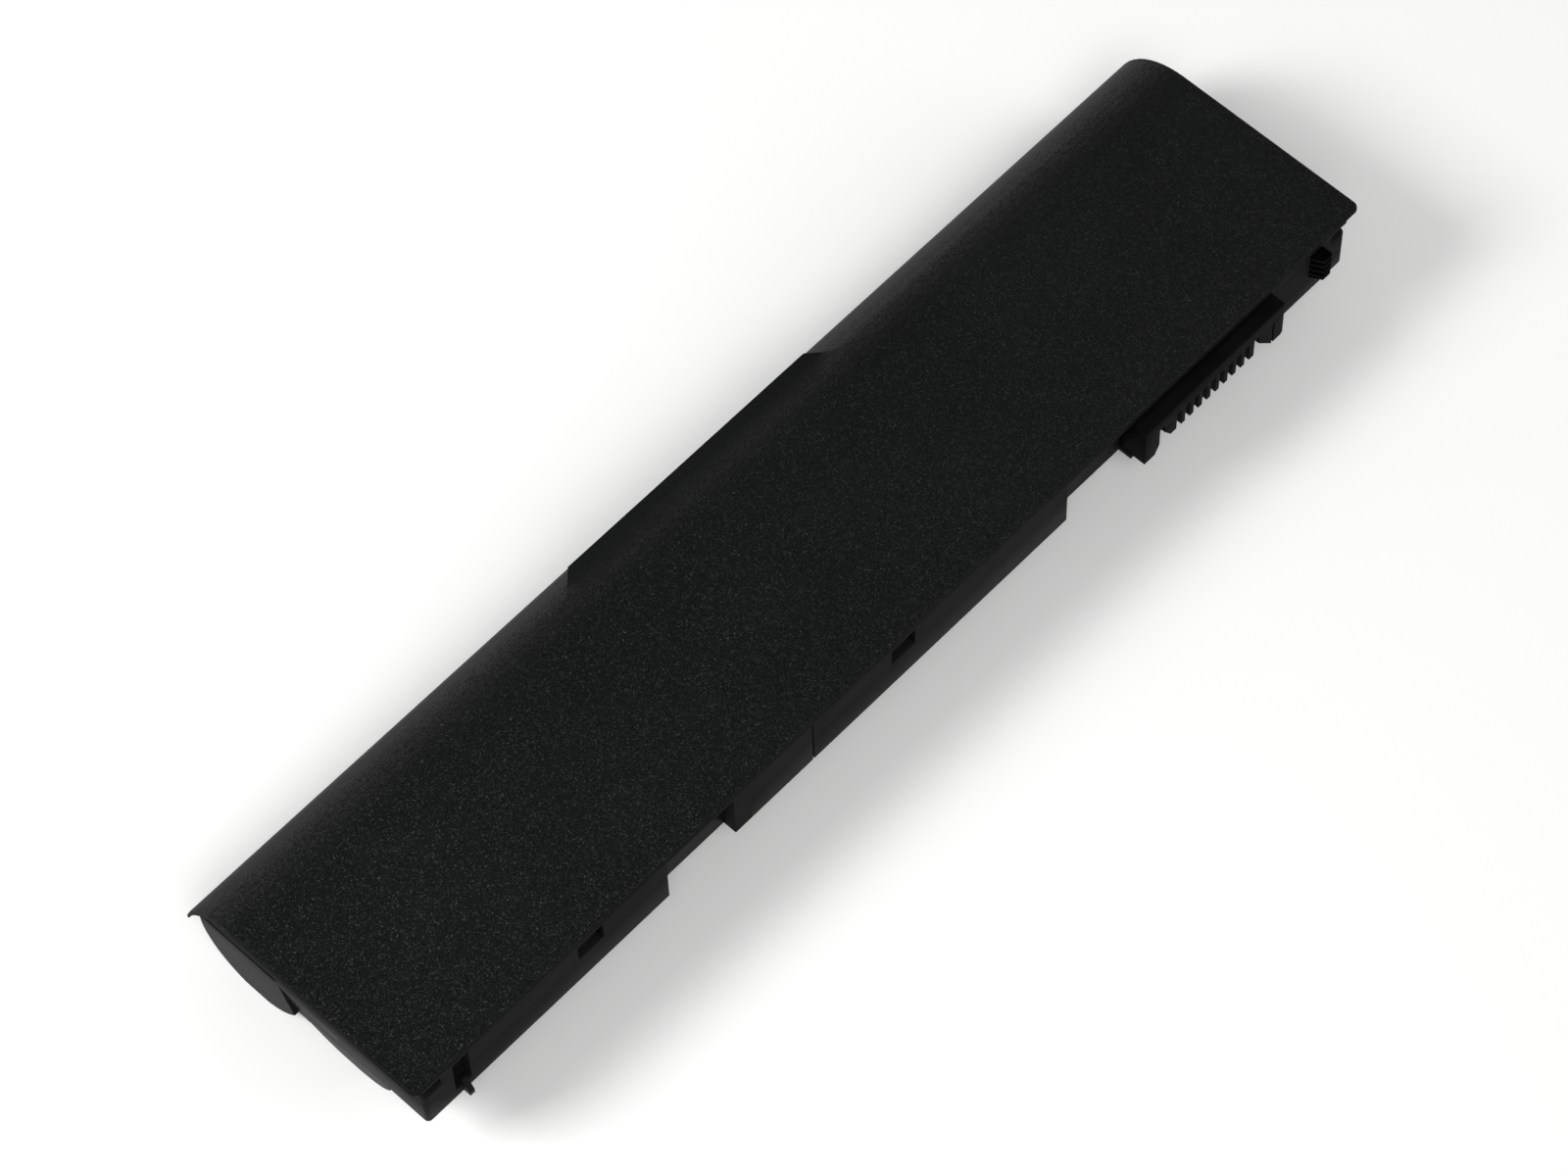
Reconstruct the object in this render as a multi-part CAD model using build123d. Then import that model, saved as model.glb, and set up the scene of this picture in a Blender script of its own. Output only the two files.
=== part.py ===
"""Six-cell laptop battery: a matt lid on a lobed case, two rows of cells, strips, board and connector.

X runs along the length towards the connector end, Y from the connector side to the rounded long edge
and Z up out of the plain matt face. The origin is under the middle of the underside. Millimetres.
"""
import os

from build123d import *

# Cells
CELL_DIAMETER = 18.3
CELL_LENGTH = 65.2
CELLS_PER_ROW = 3
CELL_FIT = 0.1
ROW_GAP = 0.4
CAP_DIAMETER = 9.0
CAP_HEIGHT = 0.6
CRIMP_DISTANCE = 3.4
CRIMP_WIDTH = 1.2
CRIMP_DEPTH = 0.5

# Nickel strips and the cards that keep them apart
STRIP_THICK = 0.2
STRIP_HEIGHT = 8.0
STRIP_REACH = 3.6
ARM_HEIGHT = 3.0
ARM_LIFT = 0.6
WELD_SLIT_LENGTH = 3.2
WELD_SLIT_WIDTH = 0.5
CARD_THICK = 0.3
CARD_MARGIN = 0.6

# Mouldings
WALL = 1.15
END_FIT = 0.2
LAP_FIT = 0.1
LOBE_FLAT_REACH = 0.25
VALLEY_DEPTH = 2.8
LID_SKIRT = 5.1
LID_SKIRT_AT_CONNECTOR_END = 7.5
LID_EDGE_SKIRT = 9.0
TONGUE_HEIGHT = 1.5
EDGE_RADIUS = 13.15
EDGE_SET_IN = 0.74
LIP_FRONT = 0.5
LIP_MIDDLE = 2.1
LIP_REAR = 2.45
LIP_RIM = 0.6
LIP_NEAR = 1.55
LIP_FAR = 3.45
LID_CORNER = 1.4
LID_EDGE_ROUND = 0.45
SKIRT_RETURN = 8.0
END_STEP = 0.3
END_LEDGE_DROP = 9.4
END_CAP_LEAN = 6.7
END_SLOPE = 1.54
END_SLOPE_DROP = 9.7

# Board bay along the connector side
BAY_WIDTH = 8.4
BAY_DEPTH = 11.4
BAY_CORNER = 0.8
RECESS_DEPTH = 2.5
RECESS_1_START = -52.3
RECESS_1_LENGTH = 14.2
RECESS_2_LENGTH = 14.85
LID_TAB_LENGTH = 3.5
SEAM_X = -21.3
SEAM_WIDTH = 0.3
SEAM_DEPTH = 0.3
WINDOW_CENTRES = (-68.3, -1.3)
WINDOW_LENGTH = 5.2
CATCH_THICK = 0.9
CATCH_RISE = 2.6
CATCH_ROOT = 2.0

# Guides at the two ends of the connector side
END_SLOT_LENGTH = 3.5
END_SLOT_HEIGHT = 2.3
POCKET_FROM_END = 5.9
POCKET_LENGTH = 3.2
POCKET_DEPTH = 2.2
POCKET_HEIGHT = 8.2
HOOK_FROM_POCKET = 1.3
HOOK_THICK = 0.95
HOOK_REACH = 1.4
HOOK_HEIGHT = 3.3
HOOK_TIP = 1.2
GUIDE_FROM_END = 5.75
GUIDE_LENGTH = 2.8
GUIDE_TAPER = 1.1
GUIDE_REACH = 2.1
GUIDE_HEIGHT = 5.7

# Finger ledge in the middle of the rounded edge
LEDGE_LENGTH = 52.0
LEDGE_SLANT = 4.5
LEDGE_START = 5.4
LEDGE_BEND = 7.65
LEDGE_REACH = 9.7
LEDGE_BEND_DROP = 2.15
LEDGE_DROP = 2.2
LEDGE_FACE = 2.8
LEDGE_UNDERCUT = 0.4

# Board and what is soldered on it
BOARD_THICK = 1.0
BOARD_SET_BACK = 5.6
BOARD_NEAR_END = -48.0
BOARD_FAR_INSET = 9.5
BOARD_HEADROOM = 0.6
BOARD_SEAT = 0.05
RIB_THICK = 0.9
RIB_LENGTH = 2.0
RIB_HEIGHT = 2.2
RIB_MIDDLE_X = 40.0
LEAD_SET_BACK = 8.2
LEAD_OVERLAP = 4.0
LEG_THICK = 0.25
LEG_REACH = 0.8
GAUGE_X = 14.0
GAUGE_LENGTH = 9.7
GAUGE_HEIGHT = 4.4
GAUGE_THICK = 1.2
GAUGE_LEG_COUNT = 15
PROTECTOR_X = 5.0
PROTECTOR_LENGTH = 4.0
PROTECTOR_HEIGHT = 3.0
PROTECTOR_THICK = 1.1
PROTECTOR_LEG_COUNT = 4
CHARGE_X = -14.0
DISCHARGE_X = -6.0
TRANSISTOR_LENGTH = 5.0
TRANSISTOR_HEIGHT = 3.9
TRANSISTOR_THICK = 1.6
TRANSISTOR_LEG_COUNT = 4
FUSE_X = -30.0
FUSE_LENGTH = 4.5
FUSE_HEIGHT = 3.2
FUSE_THICK = 1.1
FUSE_CAP = 0.9
RESISTOR_X = -22.5
RESISTOR_LENGTH = 6.4
RESISTOR_HEIGHT = 3.2
RESISTOR_THICK = 0.9
RESISTOR_CAP = 1.1
CAPACITOR_PLACES = (11.2, 25.6, 29.0)
CAPACITOR_LENGTH = 2.0
CAPACITOR_HEIGHT = 1.25
CAPACITOR_THICK = 1.2
CAPACITOR_CAP = 0.4

# Connector
CONNECTOR_LENGTH = 32.4
CONNECTOR_FROM_END = 17.7
CONNECTOR_REACH = 2.7
CONNECTOR_FIT = 0.1
CONNECTOR_CHAMFER = 0.3
CONNECTOR_BEAM = 2.85
COMB_RISE = 1.9
NEAR_BLOCK_CUT = 1.0
WIDE_TOOTH_CUT = 1.5
WIDE_TOOTH_CUT_HEIGHT = 2.3
FAR_BLOCK_RISE = 0.5
FAR_BLOCK_CUT = 3.15
FAR_BLOCK_CUT_HEIGHT = 3.6
FAR_BLOCK_CORNER = 0.4
CONTACTS = 9
CONTACT_PITCH = 1.99
FIRST_CONTACT = 7.9
SLOT_WIDTH = 1.1
SLOT_DEPTH = 5.0
NEAR_KEY_FROM_END = 3.95
FAR_KEY_FROM_END = 6.35
SLIT_FROM_END = 2.6
SLIT_WIDTH = 0.4
CONTACT_THICK = 0.2
CONTACT_HEIGHT = 2.6
CONTACT_SET_IN = 2.0

# Thermistor
BEAD_DIAMETER = 2.2
BEAD_LENGTH = 4.0
BEAD_X = -10.0
BEAD_RISE = 3.0
WIRE_DIAMETER = 0.5

# Places that follow from the sizes above
CELL_RADIUS = CELL_DIAMETER / 2
AXIS_Z = WALL + CELL_FIT + CELL_RADIUS
THICKNESS = 2 * AXIS_Z
LOBE_RADIUS = AXIS_Z + LOBE_FLAT_REACH
ROW_PITCH = CELL_DIAMETER + ROW_GAP
ROW_INNER_Y = WALL + BAY_WIDTH + CELL_FIT + CELL_RADIUS
ROW_OUTER_Y = ROW_INNER_Y + ROW_PITCH
VALLEY_Y = (ROW_INNER_Y + ROW_OUTER_Y) / 2
JOINT_GAP = 2 * STRIP_THICK + CARD_THICK
END_STACK = STRIP_THICK + CARD_THICK
ROW_LENGTH = CELLS_PER_ROW * CELL_LENGTH + (CELLS_PER_ROW - 1) * JOINT_GAP + 2 * END_STACK
CASE_LENGTH = ROW_LENGTH + 2 * END_FIT + 4 * WALL
LENGTH = CASE_LENGTH + LIP_NEAR + LIP_FAR
NEAR_X = LIP_NEAR - LENGTH / 2
FAR_X = LENGTH / 2 - LIP_FAR
CASE_X = (NEAR_X + FAR_X) / 2
ROW_NEAR_X = CASE_X - ROW_LENGTH / 2
COLUMN_PITCH = CELL_LENGTH + JOINT_GAP
EDGE_Y = ROW_OUTER_Y - EDGE_SET_IN
EDGE_Z = THICKNESS - EDGE_RADIUS
LID_UNDER_Z = THICKNESS - WALL
PARTING_Z = THICKNESS - LID_SKIRT
FAR_PARTING_Z = THICKNESS - LID_SKIRT_AT_CONNECTOR_END
EDGE_PARTING_Z = THICKNESS - LID_EDGE_SKIRT
TONGUE_TOP_Z = EDGE_PARTING_Z + TONGUE_HEIGHT
BODY_WIDTH = EDGE_Y + (EDGE_RADIUS ** 2 - (EDGE_PARTING_Z - EDGE_Z) ** 2) ** 0.5
BAY_FOOT_Z = THICKNESS - BAY_DEPTH
BAY_FLOOR_Z = BAY_FOOT_Z + WALL
CONNECTOR_FAR_X = FAR_X - CONNECTOR_FROM_END
CONNECTOR_NEAR_X = CONNECTOR_FAR_X - CONNECTOR_LENGTH
CONNECTOR_FOOT_Z = BAY_FLOOR_Z + BOARD_SEAT
CONNECTOR_TOP_Z = LID_UNDER_Z - CONNECTOR_FIT
SLOT_TOP_Z = CONNECTOR_TOP_Z - CONNECTOR_BEAM
COMB_FOOT_Z = CONNECTOR_FOOT_Z + COMB_RISE
NEAR_KEY_X = CONNECTOR_NEAR_X + NEAR_KEY_FROM_END
FAR_KEY_X = CONNECTOR_FAR_X - FAR_KEY_FROM_END
RECESS_2_START = CONNECTOR_NEAR_X - CONNECTOR_FIT - RECESS_2_LENGTH
RECESSES = ((RECESS_1_START, RECESS_1_LENGTH), (RECESS_2_START, RECESS_2_LENGTH))
LID_TAB_X = RECESS_1_START + RECESS_1_LENGTH
BOARD_FRONT_Y = BOARD_SET_BACK
BOARD_BACK_Y = BOARD_SET_BACK + BOARD_THICK
BOARD_FAR_END = FAR_X - BOARD_FAR_INSET
BOARD_FOOT_Z = BAY_FLOOR_Z + BOARD_SEAT
BOARD_TOP_Z = LID_UNDER_Z - BOARD_HEADROOM
BOARD_MID_Z = (BOARD_FOOT_Z + BOARD_TOP_Z) / 2
ARM_FOOT_Z = BAY_FLOOR_Z + ARM_LIFT
LEAD_INSET = 3 * RIB_LENGTH
MIDDLE_Y = (BODY_WIDTH - CONNECTOR_REACH) / 2
PAST = 1.0
FAR_OUT = 2 * BODY_WIDTH


def rect(u0, u1, v0, v1):
    """A flat rectangle between two corners."""
    return Pos((u0 + u1) / 2, (v0 + v1) / 2) * Rectangle(u1 - u0, v1 - v0)


def box(x0, x1, y0, y1, z0, z1):
    """A box between two corners."""
    return Pos((x0 + x1) / 2, (y0 + y1) / 2, (z0 + z1) / 2) * Box(x1 - x0, y1 - y0, z1 - z0)


def along(section, x0, x1):
    """A Y-Z section drawn out along the length."""
    return extrude(Plane.YZ.offset(x0) * section, x1 - x0)


def across(outline, y0, y1):
    """An X-Z outline drawn through between two depths."""
    return extrude(Plane.XZ.offset(-y1) * outline, y1 - y0)


def upright(plan, z0, z1):
    """An X-Y plan drawn up between two heights."""
    return extrude(Plane.XY.offset(z0) * plan, z1 - z0)


def write(name, shape):
    """Moves a finished piece to the part's own frame and writes it."""
    export_step(Pos(0, -MIDDLE_Y, 0) * shape, f"parts/{name}.step")


# Sections shared by the lid and the case

def lid_region(inset, bottom):
    """What lies inside the lid's outer surface, set in by a wall, down to a height."""
    flat = rect(inset, EDGE_Y, bottom, THICKNESS - inset)
    quarter = rect(EDGE_Y, EDGE_Y + EDGE_RADIUS, bottom, THICKNESS)
    return flat + (Pos(EDGE_Y, EDGE_Z) * Circle(EDGE_RADIUS - inset) & quarter)


def lid_skin(thick):
    """The lid's top and rounded edge, of one thickness, without its front skirt."""
    skin = lid_region(0, EDGE_PARTING_Z) - lid_region(thick, EDGE_PARTING_Z - PAST)
    return skin - rect(-PAST, 2 * thick, 0, THICKNESS - thick)


def end_lip():
    """Section of the lips over the ends: deepest over the outer row, with a thin rim round the edge."""
    edge = EDGE_Y + EDGE_RADIUS
    over = make_face(Polyline(
        (0, THICKNESS),
        (0, THICKNESS - LIP_FRONT),
        (ROW_INNER_Y, THICKNESS - LIP_MIDDLE),
        (EDGE_Y, THICKNESS - LIP_REAR),
        (edge, THICKNESS - LIP_REAR),
        (edge, THICKNESS),
        close=True,
    ))
    return (lid_region(0, EDGE_PARTING_Z) & over) + lid_skin(LIP_RIM)


def lobes(inset):
    """The two cell rows' lobes with the valley between them, set in by a wall."""
    rows = [Pos(y, AXIS_Z) * Circle(LOBE_RADIUS - inset) for y in (ROW_INNER_Y, ROW_OUTER_Y)]
    between = rect(ROW_INNER_Y, ROW_OUTER_Y, VALLEY_DEPTH + inset, THICKNESS + PAST)
    return (rows[0] + rows[1] + between) & rect(-PAST, FAR_OUT, inset, THICKNESS + PAST)


def bay_plan(inset, depth):
    """Plan of the board bay with its two recesses, set in by a wall, back to a depth."""
    plan = rect(NEAR_X + inset, FAR_X - inset, inset, depth)
    plan = fillet(plan.vertices().group_by(Axis.Y)[0], BAY_CORNER)
    for start, length in RECESSES:
        plan -= rect(start - inset, start + length + inset, -PAST, RECESS_DEPTH + inset)
    return plan


def bay_wall():
    """Plan of the wall round the front of the bay, open at the back."""
    return bay_plan(0, SKIRT_RETURN) - bay_plan(WALL, SKIRT_RETURN + PAST)


def deep_skirts():
    """Where the lid's skirt reaches lower: the tab past the first recess and the connector end."""
    wall = bay_wall()
    tab = wall & rect(LID_TAB_X, LID_TAB_X + LID_TAB_LENGTH, -PAST, SKIRT_RETURN)
    end = wall & rect(CONNECTOR_FAR_X + CONNECTOR_FIT, FAR_X, -PAST, SKIRT_RETURN)
    return upright(tab, BAY_FOOT_Z, PARTING_Z) + upright(end, FAR_PARTING_Z, PARTING_Z)


def connector_opening():
    """The gap in the bay's front wall that the connector fills."""
    x0 = CONNECTOR_NEAR_X - CONNECTOR_FIT
    x1 = CONNECTOR_FAR_X + CONNECTOR_FIT
    return box(x0, x1, -PAST, SKIRT_RETURN, BAY_FLOOR_Z, LID_UNDER_Z)


def seam():
    """The upright hairline across the front wall."""
    return box(SEAM_X, SEAM_X + SEAM_WIDTH, -PAST, SEAM_DEPTH, BAY_FOOT_Z - PAST, LID_UNDER_Z)


def hook_pocket():
    """The pocket beside the near hook, as its hollow and the wall round it."""
    x0 = NEAR_X + POCKET_FROM_END
    x1 = x0 + POCKET_LENGTH
    z0 = LID_UNDER_Z - POCKET_HEIGHT
    hollow = box(x0, x1, -PAST, POCKET_DEPTH, z0, LID_UNDER_Z)
    around = box(x0 - WALL, x1 + WALL, 0, POCKET_DEPTH + WALL, z0 - WALL, LID_UNDER_Z)
    return hollow, around - hollow


def below(shape, z):
    """The part of a shape under a height."""
    return shape & box(-LENGTH, LENGTH, -FAR_OUT, FAR_OUT, -PAST, z)


def above(shape, z):
    """The part of a shape over a height."""
    return shape & box(-LENGTH, LENGTH, -FAR_OUT, FAR_OUT, z, THICKNESS + PAST)


# Lid

def finger_ledge():
    """A ledge that leaves the rounded edge without a step, with a sharp outer edge and slanting ends."""
    def on_round(reach):
        return EDGE_Z + (EDGE_RADIUS ** 2 - reach ** 2) ** 0.5

    root = LEDGE_REACH - LEDGE_UNDERCUT
    section = make_face(Polyline(
        (EDGE_Y + LEDGE_START, on_round(LEDGE_START) - WALL / 2),
        (EDGE_Y + LEDGE_START, on_round(LEDGE_START)),
        (EDGE_Y + LEDGE_BEND, THICKNESS - LEDGE_BEND_DROP),
        (EDGE_Y + LEDGE_REACH, THICKNESS - LEDGE_DROP),
        (EDGE_Y + root, THICKNESS - LEDGE_DROP - LEDGE_FACE),
        close=True,
    ))
    half = LEDGE_LENGTH / 2
    plan = make_face(Polyline(
        (-half - LEDGE_SLANT, EDGE_Y + LEDGE_START),
        (half + LEDGE_SLANT, EDGE_Y + LEDGE_START),
        (half, EDGE_Y + LEDGE_REACH),
        (-half, EDGE_Y + LEDGE_REACH),
        close=True,
    ))
    return along(section, -LENGTH / 2, LENGTH / 2) & upright(plan, 0, THICKNESS)


def end_guide():
    """The tapered guide rib that stands out of the skirt by the far corner."""
    x1 = FAR_X - GUIDE_FROM_END
    x0 = x1 - GUIDE_LENGTH
    plan = make_face(Polyline(
        (x0, WALL / 2),
        (x0, 0),
        (x0 + GUIDE_TAPER, -GUIDE_REACH),
        (x1, -GUIDE_REACH),
        (x1, WALL / 2),
        close=True,
    ))
    return upright(plan, LID_UNDER_Z - GUIDE_HEIGHT, LID_UNDER_Z)


def top_cover():
    """The matt lid: top, rounded edge with its ledge, lips over the ends and the front skirt."""
    half = LENGTH / 2
    near = NEAR_X - LAP_FIT
    far = FAR_X + LAP_FIT
    shell = along(lid_skin(WALL), near, far) + along(end_lip(), -half, near) + along(end_lip(), far, half)
    plan = rect(-half, half, 0, FAR_OUT)
    plan = fillet(plan.vertices().group_by(Axis.Y)[0], LID_CORNER)
    shell &= upright(plan, 0, THICKNESS)
    rim = shell.faces().sort_by(Axis.Z)[-1].outer_wire().edges()
    shell = fillet([e for e in rim if e.center().Y < EDGE_Y - PAST], LID_EDGE_ROUND)
    shell += finger_ledge()
    shell += upright(bay_wall(), PARTING_Z, LID_UNDER_Z) + deep_skirts()
    hollow, around = hook_pocket()
    shell += above(around, PARTING_Z)
    shell -= hollow
    for x in WINDOW_CENTRES:
        shell -= box(x - WINDOW_LENGTH / 2, x + WINDOW_LENGTH / 2, -PAST, WALL, PARTING_Z, LID_UNDER_Z)
    slot_z = LID_UNDER_Z - END_SLOT_HEIGHT
    for x0, x1 in ((NEAR_X - PAST, NEAR_X + END_SLOT_LENGTH), (FAR_X - END_SLOT_LENGTH, FAR_X + PAST)):
        shell -= box(x0, x1, -PAST, WALL, slot_z, LID_UNDER_Z)
    return shell - connector_opening() - seam() + end_guide()


# Case

def catches():
    """Catches that stand up behind the lid's windows, rooted on the front wall's inner face."""
    y0 = WALL + LAP_FIT
    made = None
    for x in WINDOW_CENTRES:
        x0 = x - WINDOW_LENGTH / 2 + LAP_FIT
        x1 = x + WINDOW_LENGTH / 2 - LAP_FIT
        root = box(x0, x1, WALL / 2, y0 + CATCH_THICK, PARTING_Z - CATCH_ROOT, PARTING_Z)
        leaf = box(x0, x1, y0, y0 + CATCH_THICK, PARTING_Z, PARTING_Z + CATCH_RISE)
        made = root + leaf if made is None else made + root + leaf
    return made


def near_hook():
    """The hook under the near pocket, with its toe out past the wall at the foot."""
    x0 = NEAR_X + POCKET_FROM_END + HOOK_FROM_POCKET
    section = make_face(Polyline(
        (WALL / 2, BAY_FOOT_Z),
        (-HOOK_REACH, BAY_FOOT_Z),
        (-HOOK_REACH, BAY_FOOT_Z + HOOK_TIP),
        (0, BAY_FOOT_Z + HOOK_HEIGHT),
        (WALL / 2, BAY_FOOT_Z + HOOK_HEIGHT),
        close=True,
    ))
    return along(section, x0, x0 + HOOK_THICK)


def board_ribs():
    """Pairs of low ribs on the bay's floor that hold the board's lower edge between them."""
    made = None
    for x in (BOARD_NEAR_END + RIB_LENGTH, RIB_MIDDLE_X, BOARD_FAR_END - RIB_LENGTH):
        for y0 in (BOARD_FRONT_Y - LAP_FIT - RIB_THICK, BOARD_BACK_Y + LAP_FIT):
            rib = box(x - RIB_LENGTH / 2, x + RIB_LENGTH / 2, y0, y0 + RIB_THICK,
                      BAY_FLOOR_Z - WALL / 2, BAY_FLOOR_Z + RIB_HEIGHT)
            made = rib if made is None else made + rib
    return made


def outer_end():
    """The outer row's end cap, in Y-Z: its round, past a line that leans out from the valley's floor."""
    past_line = make_face(Polyline(
        (VALLEY_Y, 0),
        (VALLEY_Y, VALLEY_DEPTH),
        (VALLEY_Y + END_CAP_LEAN, LID_UNDER_Z),
        (FAR_OUT, LID_UNDER_Z),
        (FAR_OUT, 0),
        close=True,
    ))
    return past_line & Pos(ROW_OUTER_Y, AXIS_Z) * Circle(LOBE_RADIUS)


def end_slopes():
    """What is cut off the inner row's ends, which slope in towards the underside."""
    top = THICKNESS - END_SLOPE_DROP
    cuts = []
    for end, inward in ((NEAR_X, 1), (FAR_X, -1)):
        outline = make_face(Polyline(
            (end - inward * PAST, top),
            (end, top),
            (end + inward * END_SLOPE, 0),
            (end + inward * END_SLOPE, -PAST),
            (end - inward * PAST, -PAST),
            close=True,
        ))
        cuts.append(across(outline, -PAST, FAR_OUT))
    return cuts[0] + cuts[1]


def bottom_case():
    """The lobed tray for the cells, with the board bay along its connector side."""
    fill = rect(SKIRT_RETURN + LAP_FIT, ROW_INNER_Y, AXIS_Z, THICKNESS)
    under = rect(-PAST, FAR_OUT, 0, EDGE_PARTING_Z) + lid_region(WALL + LAP_FIT, EDGE_PARTING_Z)
    section = (lobes(0) + fill) & under
    cap = section & outer_end()
    cap_foot = cap & rect(0, FAR_OUT, 0, THICKNESS - END_LEDGE_DROP)
    case = along(section - cap, NEAR_X, FAR_X) - end_slopes()
    case += along(cap, NEAR_X + END_STEP, FAR_X - END_STEP) + along(cap_foot, NEAR_X, FAR_X)
    case += upright(bay_plan(0, ROW_INNER_Y), BAY_FOOT_Z, PARTING_Z)
    hollow = lobes(WALL) + rect(ROW_OUTER_Y, FAR_OUT, TONGUE_TOP_Z, THICKNESS + PAST)
    case -= along(hollow, NEAR_X + 2 * WALL, FAR_X - 2 * WALL)
    bay = upright(bay_plan(WALL, ROW_INNER_Y), BAY_FLOOR_Z, THICKNESS + PAST)
    case -= bay & box(NEAR_X + 2 * WALL, FAR_X - 2 * WALL, 0, FAR_OUT, 0, 2 * THICKNESS)
    pocket, around = hook_pocket()
    case += below(around, PARTING_Z)
    case -= pocket
    case -= deep_skirts() + connector_opening() + seam()
    return case + catches() + near_hook() + board_ribs()


# Cells

def cell():
    """One sealed can from its flat base at x = 0 to the cap on its crimped end, axis on X."""
    shoulder = CELL_LENGTH - CAP_HEIGHT
    crimp = shoulder - CRIMP_DISTANCE
    outline = make_face(Polyline(
        (0, 0),
        (0, CELL_RADIUS),
        (crimp - CRIMP_WIDTH / 2, CELL_RADIUS),
        (crimp, CELL_RADIUS - CRIMP_DEPTH),
        (crimp + CRIMP_WIDTH / 2, CELL_RADIUS),
        (shoulder, CELL_RADIUS),
        (shoulder, CAP_DIAMETER / 2),
        (CELL_LENGTH, CAP_DIAMETER / 2),
        (CELL_LENGTH, 0),
        close=True,
    ))
    return revolve(Plane.XZ * outline, Axis.X)


def write_cells():
    """Two rows of cells, all with their caps towards the connector end."""
    one = cell()
    for row, y in enumerate((ROW_INNER_Y, ROW_OUTER_Y)):
        for column in range(CELLS_PER_ROW):
            x = ROW_NEAR_X + END_STACK + column * COLUMN_PITCH
            write(f"cell_{row * CELLS_PER_ROW + column + 1}", Pos(x, y, AXIS_Z) * one)


# Strips, cards and leads

def strip_plate():
    """Flat plate across the ends of both rows, with a weld slit over each cell, in Y-Z."""
    plate = rect(ROW_INNER_Y - STRIP_REACH, ROW_OUTER_Y + STRIP_REACH,
                 AXIS_Z - STRIP_HEIGHT / 2, AXIS_Z + STRIP_HEIGHT / 2)
    plate = fillet(plate.vertices(), STRIP_HEIGHT / 4)
    for y in (ROW_INNER_Y, ROW_OUTER_Y):
        plate -= Pos(y, AXIS_Z) * Rectangle(WELD_SLIT_WIDTH, WELD_SLIT_LENGTH)
    return plate


def ribbon(points):
    """Upright ribbon of strip along a plan path, as tall as an arm."""
    path = trace(Polyline(*points), STRIP_THICK)
    return upright(path, ARM_FOOT_Z, ARM_FOOT_Z + ARM_HEIGHT)


def end_strip(x0, lead_to):
    """The plate on one end of the rows, with its lead along the bay to the board's back."""
    mid = x0 + STRIP_THICK / 2
    toward = 1 if lead_to > mid else -1
    on_board = BOARD_BACK_Y + STRIP_THICK / 2
    bend = LEAD_SET_BACK - on_board
    lead = ribbon((
        (mid, ROW_INNER_Y - STRIP_REACH + PAST),
        (mid, LEAD_SET_BACK),
        (lead_to - toward * bend, LEAD_SET_BACK),
        (lead_to, on_board),
        (lead_to + toward * LEAD_OVERLAP, on_board),
    ))
    return along(strip_plate(), x0, x0 + STRIP_THICK) + lead


def series_strip(x0):
    """A strip folded over a card: two plates, the fold in the bay and its tab to the board."""
    plates = along(strip_plate(), x0, x0 + STRIP_THICK)
    plates += along(strip_plate(), x0 + STRIP_THICK + CARD_THICK, x0 + JOINT_GAP)
    near = x0 + STRIP_THICK / 2
    far = x0 + JOINT_GAP - STRIP_THICK / 2
    root = ROW_INNER_Y - STRIP_REACH + PAST
    on_board = BOARD_BACK_Y + STRIP_THICK / 2
    fold = ribbon(((near, root), (near, LEAD_SET_BACK), (far, LEAD_SET_BACK), (far, root)))
    tab = ribbon(((far, LEAD_SET_BACK), (far, on_board), (far + LEAD_OVERLAP, on_board)))
    return plates + fold + tab


def card(x0):
    """An insulating card the shape of both cell ends."""
    top = AXIS_Z + CELL_RADIUS - CARD_MARGIN
    outline = lobes(WALL + CARD_MARGIN) & rect(0, FAR_OUT, 0, top)
    return along(outline, x0, x0 + CARD_THICK)


def write_strips():
    """The end strips, the folded strips between columns, and all the cards."""
    near_plate = ROW_NEAR_X + CARD_THICK
    far_plate = ROW_NEAR_X + ROW_LENGTH - END_STACK
    write("negative_strip", end_strip(near_plate, BOARD_NEAR_END + LEAD_INSET))
    write("positive_strip", end_strip(far_plate, BOARD_FAR_END - LEAD_INSET))
    write("card_near_end", card(ROW_NEAR_X))
    write("card_far_end", card(far_plate + STRIP_THICK))
    for i in range(CELLS_PER_ROW - 1):
        x0 = ROW_NEAR_X + END_STACK + CELL_LENGTH + i * COLUMN_PITCH
        write(f"series_strip_{i + 1}", series_strip(x0))
        write(f"card_between_{i + 1}", card(x0 + STRIP_THICK))


# Board and components

def protection_board():
    """The narrow board that stands on edge in the bay."""
    return box(BOARD_NEAR_END, BOARD_FAR_END, BOARD_FRONT_Y, BOARD_BACK_Y, BOARD_FOOT_Z, BOARD_TOP_Z)


def chip(x, length, height, thick, legs):
    """A moulded chip on the board's front with gull legs above and below."""
    front = BOARD_FRONT_Y - thick
    half = height / 2
    body = box(x, x + length, front, BOARD_FRONT_Y - LEG_THICK, BOARD_MID_Z - half, BOARD_MID_Z + half)
    body = chamfer(body.faces().sort_by(Axis.Y)[0].edges(), LEG_THICK)
    pitch = length / legs
    for i in range(legs):
        leg_x = x + (i + 0.5) * pitch
        reach = half + LEG_REACH
        body += box(leg_x - pitch / 4, leg_x + pitch / 4, BOARD_FRONT_Y - 2 * LEG_THICK, BOARD_FRONT_Y,
                    BOARD_MID_Z - reach, BOARD_MID_Z + reach)
    return body


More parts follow.
